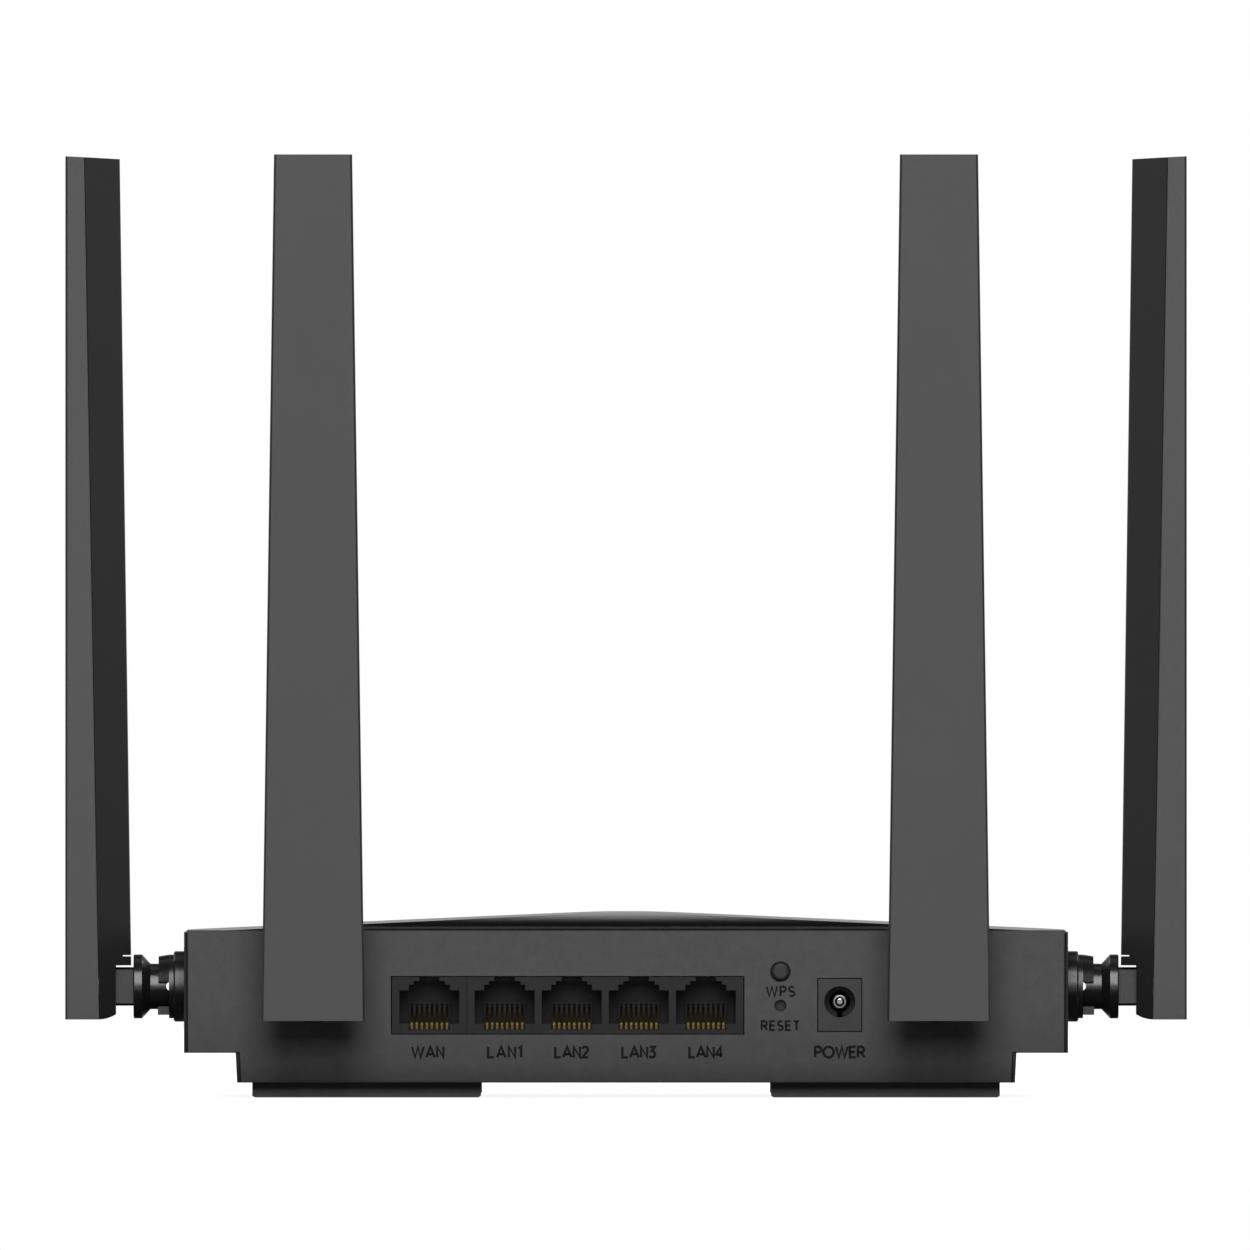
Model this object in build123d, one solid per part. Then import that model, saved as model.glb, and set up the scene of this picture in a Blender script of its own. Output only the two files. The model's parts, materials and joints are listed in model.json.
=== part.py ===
from build123d import *
import os
from math import cos, radians, sin, tan

# Wireless router: four folding blade antennas, one WAN and four LAN sockets, a DC inlet and two buttons.
#
# Row frame, in millimetres: +Z up from the surface the feet stand on, -Y the front (light) edge,
# +Y the connector panel, +X to the right as seen from the front.  The origin is under the middle of the case.
# Every antenna is drawn once in a local frame: +X points out of the case wall along its swivel
# axis, the origin lies on the wall's outer face, and the blade stands along +Z.

# Case
HALF_WIDTH = 90.7
FRONT = -60.0
REAR = 60.0
WALL = 2.0
FOOT_TOP = 3.05            # underside of the tub
SHOULDER = 9.15            # underside of the wide upper case
SEAM = 31.0                # where the lid meets the lower case
PANEL_TOP = 34.3
TUB_HALF_WIDTH = 80.1
TUB_FRONT = -49.5
TUB_DRAFT = 3.0            # degrees that the tub's sides lean in
FRONT_CORNER = 6.0
REAR_CORNER = 0.9

# Lid
LID_EDGE = 33.9
LID_SLOPE = 0.0455
RIDGE_HALF = 9.5           # where the flat slopes pass into the rounded ridge
LID_REAR = REAR - 2.2
RAMP_HEIGHT = 4.3
REAR_RAMP = 20.0
FRONT_RAMP = 30.0
SEAM_GAP = 0.12

# Connector panel
PANEL_THICK = 2.0
PANEL_EDGE = 0.6           # thin case lip at each end of the panel, with its gap
FIT = 0.2                  # gap round whatever passes through the panel
SOCKET_LOW = 13.1
SOCKET_TOP = 24.72
PORT_PITCH = 13.76
WAN_CENTRE = 40.34
LAN_FIRST = 24.9
LAN_COUNT = 4
JACK_DEPTH = 16.0
FACE = REAR - 0.15         # outer face of every jack
CONTACT_PITCH = 1.03
CONTACT_COUNT = 8

DC_X = -43.85
DC_Z = 19.65
DC_HALF_WIDTH = 4.43
DC_LOW = 13.65             # underside of the inlet's nose
DC_TOP = 24.35
DC_NOSE = 2.6

BUTTON_X = -31.68
WPS_Z = 25.85
RESET_Z = 18.84
WPS_RADIUS = 1.9
RESET_RADIUS = 0.85
RESET_HOLE = 1.25

# Board
BOARD_LOW = 11.4
BOARD_TOP = 13.0
BOARD_HALF_WIDTH = 66.0
BOARD_FRONT = -40.0
BOARD_REAR = 57.0
SCREW_SPOTS = [(x, y) for x in (-71.5, 71.5) for y in (-25.0, 22.0)]
BOARD_SPOTS = [(x, y) for x in (-60.0, 60.0) for y in (-34.0, 12.0)]
POST_TOP = 20.0
SCREW_RADIUS = 1.4

# Underside
FOOT_INNER = 29.78
FOOT_OUTER = 76.7
FOOT_ROWS = [(-46.0, -30.0), (40.0, 56.0)]
FOOT_RECESS = 0.5
KEYHOLE_HALF_PITCH = 45.0
KEYHOLE_RADIUS = 4.0
KEYHOLE_SLOT = 1.8

# Lights
LIGHT_COUNT = 7
LIGHT_PITCH = 9.0
LIGHT_Z = 21.0

# Antenna: swivel
AXIS_Z = 22.62
SIDE_Y = 30.0
REAR_X = 64.07
RING_RADIUS = 7.25
RING_LENGTH = 2.3
SLEEVE_RADIUS = 6.55
SLEEVE_END = 3.25
TUBE_RADIUS = 5.5
TUBE_END = -4.5
SHAFT_RADIUS = 4.18
SHAFT_PLAY = 0.07
NECK_START = 3.29
NECK_RADIUS = 4.68
NECK_END = 7.07
HOOD_END = 5.4
HOOD_LOW = 1.0             # the hood covers the neck above this height over the axis
LUG_END = 5.55
LUG_DROP = 5.84
CONE_END = 8.82
FLANGE_RADIUS = 6.58
FLANGE_END = 10.55
STEP_END = 11.15
TONGUE_HALF_HEIGHT = 3.95
TONGUE_HALF_WIDTH = 4.0
CHAMBER_RADIUS = 3.0
LEAD_BORE = 1.3
CROSS_X = 3.0
CROSS_HOLE = 0.9           # pin hole right through the neck, mostly covered by the sleeve
LEAD_DROP = 2.05           # how far the lead passes below the cross hole

# Antenna: blade, measured from the fold axis
FOLD_OUT = 17.72
PIN_RADIUS = 1.75
BLADE_LOW = -6.75
BLADE_HIGH = 170.65
BLADE_FACE = 6.8
LOW_HALF_WIDTH = 10.55
HIGH_HALF_WIDTH = 8.0
LOW_SLAB = 6.95
HIGH_SLAB = 3.9
LOW_THICK = 13.6
HIGH_THICK = 11.1
BEVEL_RUN = 0.85           # sideways run of the bevels for each millimetre of depth
BLADE_WALL = 1.5
CAVITY_LOW = 12.0
CAVITY_HIGH = 165.0
EAR_FLAT = -3.5
FORK_TOP = 4.35
TIP_SLANT = 0.0507         # drop of the tip for each millimetre towards the inner face
CABLE_RADIUS = 0.7

ANTENNAS = {
    "side_right": (HALF_WIDTH, SIDE_Y, 0),
    "side_left": (-HALF_WIDTH, SIDE_Y, 180),
    "rear_right": (REAR_X, REAR, 90),
    "rear_left": (-REAR_X, REAR, 90),
}


def block(x, y, z):
    """A box between the two values given for each axis."""
    centre = Pos((x[0] + x[1]) / 2, (y[0] + y[1]) / 2, (z[0] + z[1]) / 2)
    return centre * Box(x[1] - x[0], y[1] - y[0], z[1] - z[0])


def rod(radius, start, end, far_radius=None):
    """A round bar, or a cone where a second radius is given, from one point to another."""
    axis = Vector(*end) - Vector(*start)
    plane = Plane(origin=start, z_dir=axis)
    if far_radius is None:
        return extrude(plane * Circle(radius), axis.length)
    return loft([(plane * Circle(radius)).face(), (plane.offset(axis.length) * Circle(far_radius)).face()])


def bar_y(radius, x, z, y):
    """A round bar along Y between two values of y."""
    return rod(radius, (x, y[0], z), (x, y[1], z))


def bar_z(radius, x, y, z):
    """A round bar along Z between two heights."""
    return rod(radius, (x, y, z[0]), (x, y, z[1]))


def joined(parts):
    """Fuse a list of solids."""
    total = parts[0]
    for item in parts[1:]:
        total = total + item
    return total


def cable(points, radii):
    """A round coax lead along straight runs joined by tangent arcs."""
    route = FilletPolyline(*points, radius=radii)
    start = Plane(origin=route @ 0, z_dir=route % 0)
    return sweep(start * Circle(CABLE_RADIUS), path=route)


def outline(half_width, front, rear, front_radius, rear_radius):
    """A plan outline with one radius at the front corners and another at the rear ones."""
    plan = Pos(0, (front + rear) / 2) * Rectangle(2 * half_width, rear - front)
    corners = plan.vertices().sort_by(Axis.Y)
    plan = fillet(corners[:2], front_radius)
    corners = plan.vertices().group_by(Axis.Y)[-1]
    return fillet(corners, rear_radius)


def case_shape(inset, low, high):
    """The lower case's outer form, or its hollow when inset by the wall."""
    rear = REAR if inset == 0 else REAR + 5
    rear_radius = REAR_CORNER if inset == 0 else 0.5
    floor = SHOULDER + inset
    upper = outline(HALF_WIDTH - inset, FRONT + inset, rear, FRONT_CORNER - inset, rear_radius)
    tub = outline(TUB_HALF_WIDTH - inset, TUB_FRONT + inset, REAR + 5, FRONT_CORNER - inset, 0.5)
    tub = extrude(Pos(0, 0, floor) * tub, amount=SHOULDER - low, dir=(0, 0, -1), taper=TUB_DRAFT)
    tub = tub & block((-HALF_WIDTH, HALF_WIDTH), (FRONT, rear), (0, SEAM))
    return extrude(Pos(0, 0, floor) * upper, high - floor) + tub


def tub_half(z):
    """Half the tub's width at height z."""
    return TUB_HALF_WIDTH - tan(radians(TUB_DRAFT)) * (SHOULDER - z)


def panel_form(edge, y, low, step, top):
    """A slab with the case's rear outline, inset at its ends; step is the height where it widens."""
    half = HALF_WIDTH - edge
    corners = [(half, top), (half, step), (tub_half(step) - edge, step), (tub_half(low) - edge, low)]
    mirrored = [(-x, z) for x, z in reversed(corners)]
    face = Plane.XZ.offset(-y[1]) * Polygon(*corners, *mirrored, align=None)
    return extrude(face, y[1] - y[0], dir=(0, -1, 0))


def underside_vents():
    """Two rows of slots through the tub's floor."""
    slots = []
    for row in (-14.0, 12.0):
        for place in range(-9, 10):
            centre = Pos(place * 6.0, row, FOOT_TOP - 1)
            slots.append(centre * extrude(SlotOverall(20, 2.2, rotation=90), WALL + 2))
    return slots


def side_vents():
    """Short upright slots through both side walls, towards the front."""
    slots = []
    for place in range(9):
        y = -44.0 + place * 5.0
        slots.append(block((-HALF_WIDTH - 1, HALF_WIDTH + 1), (y, y + 2.0), (15.0, 26.0)))
    return slots


def keyholes():
    """Two wall-hanging keyholes, each a round entry with a narrow slot towards the front."""
    holes = []
    for x in (-KEYHOLE_HALF_PITCH, KEYHOLE_HALF_PITCH):
        holes.append(bar_z(KEYHOLE_RADIUS, x, 33.5, (FOOT_TOP - 1, FOOT_TOP + WALL + 1)))
        holes.append(bar_z(KEYHOLE_SLOT, x, 26.0, (FOOT_TOP - 1, FOOT_TOP + WALL + 1)))
        slot = block((x - KEYHOLE_SLOT, x + KEYHOLE_SLOT), (26.0, 33.5), (FOOT_TOP - 1, FOOT_TOP + WALL + 1))
        holes.append(slot)
    return holes


def light_spots():
    """The x of each front light."""
    first = -LIGHT_PITCH * (LIGHT_COUNT - 1) / 2
    return [first + place * LIGHT_PITCH for place in range(LIGHT_COUNT)]


def socket_hole(name):
    """The hole through the wall or panel that takes one antenna socket."""
    return placed(name, rod(TUBE_RADIUS + 0.05, (-WALL - 1.5, 0, 0), (1, 0, 0)))


def bottom_case():
    """Lower case: wide upper part over a narrower tub, open at the back for the connector panel."""
    case = case_shape(0, FOOT_TOP, SEAM) - case_shape(WALL, FOOT_TOP, SEAM + 5)
    posts = [bar_z(3.2, x, y, (FOOT_TOP + 1, POST_TOP)) for x, y in SCREW_SPOTS]
    bosses = [bar_z(2.8, x, y, (FOOT_TOP + 1, BOARD_LOW)) for x, y in BOARD_SPOTS]
    ribs = [block((x - 0.6, x + 0.6), (TUB_FRONT + 1, 50), (FOOT_TOP + 1, 8.0)) for x in (-30.0, 30.0)]
    case = joined([case] + posts + bosses + ribs)
    case = case - panel_form(PANEL_EDGE, (REAR - PANEL_THICK - 0.1, REAR + 1), FOOT_TOP - 1, SHOULDER, SEAM + 1)
    for x, y in SCREW_SPOTS:
        case = case - bar_z(SCREW_RADIUS + 0.1, x, y, (0, POST_TOP + 1)) - bar_z(2.7, x, y, (0, FOOT_TOP + 2.6))
    for x, y in BOARD_SPOTS:
        case = case - bar_z(0.9, x, y, (FOOT_TOP + 3, BOARD_LOW + 1))
    for low, high in FOOT_ROWS:
        for side in (-1, 1):
            x = sorted((side * FOOT_INNER, side * FOOT_OUTER))
            case = case - block((x[0] - 0.1, x[1] + 0.1), (low - 0.1, high + 0.1), (0, FOOT_TOP + FOOT_RECESS))
    for cut in underside_vents() + side_vents() + keyholes():
        case = case - cut
    for x in light_spots():
        case = case - block((x - 1.6, x + 1.6), (FRONT - 1, FRONT + 3), (LIGHT_Z - 0.7, LIGHT_Z + 0.7))
    for name in ("side_right", "side_left"):
        case = case - socket_hole(name)
    return case


def roof(drop, low):
    """The lid's form: a gable with a rounded ridge, cut down by a curved ramp at the front and rear."""
    half = HALF_WIDTH - drop
    shoulder = LID_EDGE + LID_SLOPE * (HALF_WIDTH - RIDGE_HALF) - drop
    eave = LID_EDGE + LID_SLOPE * drop - drop
    top = shoulder + LID_SLOPE * RIDGE_HALF / 2
    gable_line = [
        Line((-half, low), (half, low)),
        Line((half, low), (half, eave)),
        Line((half, eave), (RIDGE_HALF, shoulder)),
        ThreePointArc((RIDGE_HALF, shoulder), (0, top), (-RIDGE_HALF, shoulder)),
        Line((-RIDGE_HALF, shoulder), (-half, eave)),
        Line((-half, eave), (-half, low)),
    ]
    gable = extrude(Plane.XZ * make_face(gable_line), 70, both=True)
    return gable & ramps(drop, low)


def ramps(drop, low):
    """The lid seen from the side: quarter ellipses rise from its front and rear edges."""
    rear = LID_REAR - drop
    front = FRONT + drop
    start = LID_EDGE - 0.4 - drop
    crest = start + RAMP_HEIGHT
    side_line = [
        Line((front, low), (rear, low)),
        Line((rear, low), (rear, start)),
        EllipticalCenterArc((rear - REAR_RAMP, start), REAR_RAMP, RAMP_HEIGHT, start_angle=0),
        Line((rear - REAR_RAMP, crest), (front + FRONT_RAMP, crest)),
        EllipticalCenterArc((front + FRONT_RAMP, start), FRONT_RAMP, RAMP_HEIGHT, start_angle=90),
        Line((front, start), (front, low)),
    ]
    return extrude(Plane.YZ * make_face(side_line), 100, both=True)


def top_cover():
    """Lid with a locating lip and four screw bosses."""
    low = SEAM + SEAM_GAP
    plan = outline(HALF_WIDTH, FRONT, LID_REAR, FRONT_CORNER, REAR_CORNER)
    hollow_plan = outline(HALF_WIDTH - WALL, FRONT + WALL, LID_REAR - WALL, FRONT_CORNER - WALL, 0.5)
    skin = roof(0, low) & extrude(Pos(0, 0, low) * plan, 20)
    hollow = roof(WALL, low - 1) & extrude(Pos(0, 0, low - 1) * hollow_plan, 20)
    lip_outer = outline(HALF_WIDTH - WALL - 0.1, FRONT + WALL + 0.1, LID_REAR - 0.3, FRONT_CORNER - WALL, 0.5)
    lip_inner = outline(HALF_WIDTH - WALL - 1.3, FRONT + WALL + 1.3, LID_REAR - WALL, FRONT_CORNER - WALL, 0.5)
    lip = extrude(Pos(0, 0, SEAM - 1.0) * lip_outer, 2.6) - extrude(Pos(0, 0, SEAM - 2) * lip_inner, 5)
    for side in (-1, 1):
        x = sorted((side * (HALF_WIDTH - 4), side * HALF_WIDTH))
        lip = lip - block(x, (SIDE_Y - 7, SIDE_Y + 7), (SEAM - 3, SEAM + 0.4))
    bosses = [bar_z(3.2, x, y, (POST_TOP + 0.1, 35.0)) for x, y in SCREW_SPOTS]
    lid = joined([skin - hollow, lip] + bosses)
    for x, y in SCREW_SPOTS:
        lid = lid - bar_z(SCREW_RADIUS + 0.02, x, y, (POST_TOP - 1, 32.0))
    return lid - creases()


def creases():
    """Two fine grooves that run from the front corners to the ridge."""
    depth = 0.5
    cutters = []
    for side in (-1, 1):
        start = Vector(side * 84.0, -40.0, 0)
        end = Vector(side * 6.0, 34.0, 0)
        run = end - start
        angle = Vector(1, 0, 0).get_signed_angle(run, Vector(0, 0, 1))
        middle = (start + end) * 0.5
        slab = Pos(middle.X, middle.Y, 0) * Rot(0, 0, angle) * Box(run.length, 0.9, 100)
        cutters.append(slab & (roof(0, 30) - Pos(0, 0, -depth) * roof(0, 29)))
    return cutters[0] + cutters[1]


def rear_panel():
    """Connector panel: a flat plate that fills the open back of the case."""
    panel = panel_form(PANEL_EDGE + 0.1, (REAR - PANEL_THICK, REAR), FOOT_TOP, SHOULDER + 0.03, PANEL_TOP)
    panel = chamfer(panel.edges().group_by(Axis.Y)[-1], 0.2)
    for x in (-56.0, 56.0):
        panel = panel + block((x - 4, x + 4), (REAR - 4.0, REAR - 1), (27.5, 29.0))
    lan_last = LAN_FIRST - PORT_PITCH * (LAN_COUNT - 1)
    window = (lan_last - 7.7 - FIT, WAN_CENTRE + 7.7 + FIT)
    cut = (REAR - 5, REAR + 1)
    panel = panel - block(window, cut, (SOCKET_LOW - FIT, SOCKET_TOP + FIT))
    dc_window = (DC_X - DC_HALF_WIDTH - FIT, DC_X + DC_HALF_WIDTH + FIT)
    panel = panel - block(dc_window, cut, (DC_LOW - FIT, DC_TOP + FIT))
    panel = panel - bar_y(WPS_RADIUS + 0.2, BUTTON_X, WPS_Z, cut)
    panel = panel - bar_y(RESET_HOLE, BUTTON_X, RESET_Z, cut)
    for name in ("rear_right", "rear_left"):
        panel = panel - socket_hole(name)
    return panel


def rubber_feet():
    """Four wide pads, slightly tapered, seated in shallow recesses."""
    pads = []
    for low, high in FOOT_ROWS:
        for side in (-1, 1):
            x = side * (FOOT_INNER + FOOT_OUTER) / 2
            plan = Pos(x, (low + high) / 2) * Rectangle(FOOT_OUTER - FOOT_INNER, high - low)
            pad = extrude(plan, FOOT_TOP + FOOT_RECESS)
            pad = chamfer(pad.edges().group_by(Axis.Z)[0], length=0.35, length2=0.5)
            pads.append(pad)
    return pads


def case_screws():
    """Four pan-head screws, driven from below."""
    screws = []
    for x, y in SCREW_SPOTS:
        head = bar_z(2.5, x, y, (FOOT_TOP + 0.9, FOOT_TOP + 2.6))
        shank = bar_z(SCREW_RADIUS, x, y, (FOOT_TOP + 2.6, 30.0))
        drive = block((x - 1.4, x + 1.4), (y - 0.3, y + 0.3), (FOOT_TOP, FOOT_TOP + 1.8))
        cross = block((x - 0.3, x + 0.3), (y - 1.4, y + 1.4), (FOOT_TOP, FOOT_TOP + 1.8))
        screws.append(head + shank - drive - cross)
    return screws


def main_board():
    """Printed circuit board on the case's bosses."""
    board = block((-BOARD_HALF_WIDTH, BOARD_HALF_WIDTH), (BOARD_FRONT, BOARD_REAR), (BOARD_LOW, BOARD_TOP))
    board = fillet(board.edges().filter_by(Axis.Z), 2.0)
    for x, y in BOARD_SPOTS:
        board = board - bar_z(1.6, x, y, (BOARD_LOW - 1, BOARD_TOP + 1))
    return board


def board_screws():
    """Four small screws that hold the board on its bosses."""
    screws = []
    for x, y in BOARD_SPOTS:
        head = bar_z(2.6, x, y, (BOARD_TOP, BOARD_TOP + 1.5))
        screws.append(head + bar_z(0.88, x, y, (FOOT_TOP + 3.5, BOARD_TOP)))
    return screws


def port_cavity(x):
    """The space that a network plug fills, with the stepped recess for its latch above."""
    deep = (FACE - 12.5, FACE + 1)
    widths = [(12.3, 15.13, 22.0), (8.4, 13.93, 23.17), (6.5, 22.0, 23.9), (4.16, 22.0, SOCKET_TOP + 1)]
    spaces = [block((x - wide / 2, x + wide / 2), deep, (low, high)) for wide, low, high in widths[:3]]
    wide, low, high = widths[3]
    spaces.append(block((x - wide / 2, x + wide / 2), (FACE - 5.0, FACE + 1), (low, high)))
    return joined(spaces)


def contact_spots(x):
    """The x of each contact in the port centred on x."""
    first = x - CONTACT_PITCH * (CONTACT_COUNT - 1) / 2
    return [first + place * CONTACT_PITCH for place in range(CONTACT_COUNT)]


def jack(centres):
    """Housing for one row of network ports, with a slotted comb behind each row of contacts."""
    x = (min(centres) - PORT_PITCH / 2 - 0.8, max(centres) + PORT_PITCH / 2 + 0.8)
    housing = block(x, (FACE - JACK_DEPTH, FACE), (SOCKET_LOW, SOCKET_TOP))
    for centre in centres:
        housing = housing - port_cavity(centre)
        comb = block((centre - 4.2, centre + 4.2), (FACE - 12.5, FACE - 10.5), (13.93, 19.5))
        for spot in contact_spots(centre):
            comb = comb - block((spot - 0.26, spot + 0.26), (FACE - 13, FACE - 10), (13.0, 19.2))
        housing = housing + comb
    return housing


def port_contacts():
    """The gilt spring wires of every port, rising from the front of the mouth to the comb."""
    lan = [LAN_FIRST - PORT_PITCH * place for place in range(LAN_COUNT)]
    wires = []
    for centre in [WAN_CENTRE] + lan:
        for spot in contact_spots(centre):
            side = [
                (FACE - 12.3, 18.5), (FACE - 4.4, 16.2), (FACE - 3.1, 15.35), (FACE - 2.9, 14.9),
                (FACE - 2.9, 14.0), (FACE - 3.3, 14.0), (FACE - 3.3, 14.9), (FACE - 4.5, 15.8),
                (FACE - 12.3, 18.1),
            ]
            profile = Plane.YZ * Polygon(*side, align=None)
            wires.append(Pos(spot, 0, 0) * extrude(profile, 0.23, both=True))
    return wires


def dc_jack():
    """Barrel power inlet."""
    x = (DC_X - DC_HALF_WIDTH, DC_X + DC_HALF_WIDTH)
    housing = block(x, (FACE - 14.0, FACE - DC_NOSE), (SOCKET_LOW, DC_TOP))
    housing = housing + block(x, (FACE - DC_NOSE, FACE), (DC_LOW, DC_TOP))
    housing = housing - bar_y(3.2, DC_X, DC_Z, (FACE - 10.5, FACE + 1))
    housing = housing - bar_y(1.0, DC_X, DC_Z, (FACE - 13.0, FACE - 10))
    return housing - block((DC_X - 0.75, DC_X + 0.75), (FACE - 10.5, FACE - 1.6), (15.8, 17.5))


def dc_contacts():
    """Centre pin with its collar, and the sprung sleeve contact below it."""
    pin = bar_y(0.98, DC_X, DC_Z, (FACE - 13.0, FACE - 1.2))
    pin = fillet(pin.edges().sort_by(Axis.Y)[-1], 0.5)
    collar = bar_y(2.1, DC_X, DC_Z, (FACE - 10.5, FACE - 8.6))
    collar = fillet(collar.edges().sort_by(Axis.Y)[-1], 0.9)
    side = [(FACE - 10.4, 15.95), (FACE - 1.8, 15.95), (FACE - 1.8, 16.3), (FACE - 4.5, 17.55),
            (FACE - 5.5, 17.55), (FACE - 9.8, 16.3), (FACE - 10.4, 16.3)]
    strip = Pos(DC_X, 0, 0) * extrude(Plane.YZ * Polygon(*side, align=None), 0.55, both=True)
    return [pin + collar, strip]


def button_board():
    """Small upright board that carries both push switches."""
    return block((BUTTON_X - 5.2, BUTTON_X + 5.2), (49.6, 51.0), (BOARD_TOP + 0.05, 30.0))


def push_switches():
    """Two tactile switches facing the panel."""
    switches = []
    for z in (WPS_Z, RESET_Z):
        base = block((BUTTON_X - 3.0, BUTTON_X + 3.0), (51.0, 53.6), (z - 3.0, z + 3.0))
        switches.append(base + bar_y(1.6, BUTTON_X, z, (53.6, 54.1)))
    return switches


def wps_button():
    """Round push button, held behind the panel by its flange."""
    cap = bar_y(WPS_RADIUS, BUTTON_X, WPS_Z, (57.0, REAR + 0.9))
    cap = fillet(cap.edges().sort_by(Axis.Y)[-1], 0.75)
    return cap + bar_y(2.8, BUTTON_X, WPS_Z, (56.6, 57.75)) + bar_y(1.2, BUTTON_X, WPS_Z, (54.75, 57.0))


def reset_plunger():
    """Recessed plunger, reached with a pin through its small hole."""
    tip = bar_y(RESET_RADIUS, BUTTON_X, RESET_Z, (57.0, REAR - 1.8))
    return tip + bar_y(2.2, BUTTON_X, RESET_Z, (56.6, 57.75)) + bar_y(0.9, BUTTON_X, RESET_Z, (54.6, 57.0))


def thermal_pad():
    """Soft pad between the main chip and its heat sink."""
    return block((-8, 8), (-8, 8), (BOARD_TOP + 1.2, BOARD_TOP + 1.8))


def heat_sink():
    """Finned aluminium heat sink."""
    low = BOARD_TOP + 1.8
    sink = block((-17, 17), (-17, 17), (low, low + 10))
    for place in range(8):
        x = -15.0 + place * 4.0
        sink = sink - block((x, x + 2.4), (-18, 18), (low + 2, low + 11))
    return sink


def chips():
    """Main chip under the heat sink, working memory, flash and the network switch chip."""
    spots = [(0, 0, 8.0, 8.0), (26, -6, 5.5, 9.0), (-26, -4, 4.0, 5.0), (6, 27, 6.5, 6.5)]
    top = BOARD_TOP + 1.2
    return [block((x - a, x + a), (y - b, y + b), (BOARD_TOP, top)) for x, y, a, b in spots]


def rf_shields():
    """Pressed cans over the two radio sections, with a row of vent holes."""
    cans = []
    for x in (-46.0, 46.0):
        can = block((x - 12, x + 12), (-30, -8), (BOARD_TOP, BOARD_TOP + 3.2))
        can = can - block((x - 11.7, x + 11.7), (-29.7, -8.3), (BOARD_TOP - 1, BOARD_TOP + 2.9))
        for place in range(-3, 4):
            can = can - bar_z(0.8, x + place * 3.0, -19, (BOARD_TOP + 2, BOARD_TOP + 4))
        cans.append(can)
    return cans


def lan_transformers():
    """Isolation transformers behind the network sockets."""
    return [block((x - 7, x + 7), (35.0, 42.0), (BOARD_TOP, BOARD_TOP + 5.0)) for x in (-12.0, 6.0, 24.0, 42.0)]


def capacitors():
    """Electrolytic capacitors near the power inlet."""
    spots = [(-36.0, 38.0, 3.1, 8.0), (-44.0, 38.0, 3.1, 8.0), (-50.0, 30.0, 2.5, 6.5), (-42.0, 27.0, 2.5, 6.5)]
    cans = []
    for x, y, radius, height in spots:
        can = bar_z(radius, x, y, (BOARD_TOP, BOARD_TOP + height))
        cans.append(fillet(can.edges().sort_by(Axis.Z)[-1], 0.4))
    return cans


def status_leds():
    """One small lamp behind each finger of the light guide."""
    y = (BOARD_FRONT + 1.0, BOARD_FRONT + 2.6)
    return [block((x - 0.8, x + 0.8), y, (BOARD_TOP, BOARD_TOP + 0.8)) for x in light_spots()]


def light_pipe():
    """Clear guide that carries the lamps' light to the front of the case."""
    width = LIGHT_PITCH * (LIGHT_COUNT - 1) / 2 + 3
    y_back = (BOARD_FRONT + 0.6, BOARD_FRONT + 3.0)
    fingers = []
    for x in light_spots():
        fingers.append(block((x - 1.5, x + 1.5), y_back, (BOARD_TOP + 1.1, LIGHT_Z + 0.6)))
        fingers.append(block((x - 1.5, x + 1.5), (FRONT + 0.02, BOARD_FRONT + 1.0), (LIGHT_Z - 0.6, LIGHT_Z + 0.6)))
    bridge = block((-width, width), (FRONT + WALL + 0.1, FRONT + WALL + 4), (LIGHT_Z - 1.2, LIGHT_Z + 1.2))
    return joined([bridge] + fingers)


def placed(name, part):
    """Move a piece from the antenna's local frame to where that antenna sits."""
    x, y, turn = ANTENNAS[name]
    return Pos(x, y, AXIS_Z) * Rot(0, 0, turn) * part


def antenna_socket():
    """Bushing snapped into the case wall, in which the antenna turns."""
    ring = rod(RING_RADIUS, (0, 0, 0), (RING_LENGTH, 0, 0))
    ring = chamfer(ring.edges().sort_by(Axis.X)[-1], 0.3)
    tube = rod(TUBE_RADIUS, (TUBE_END, 0, 0), (1, 0, 0))
    barb = rod(TUBE_RADIUS, (-3.6, 0, 0), (-2.15, 0, 0), TUBE_RADIUS + 0.6)
    sleeve = rod(SLEEVE_RADIUS, (1, 0, 0), (SLEEVE_END, 0, 0))
    bushing = ring + sleeve + tube + barb
    bushing = bushing - rod(SHAFT_RADIUS + SHAFT_PLAY, (TUBE_END - 1, 0, 0), (SLEEVE_END + 1, 0, 0))
    for across in (Box(4.2, 1.4, 20), Box(4.2, 20, 1.4)):
        bushing = bushing - Pos(-4.3, 0, 0) * across
    return bushing


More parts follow.
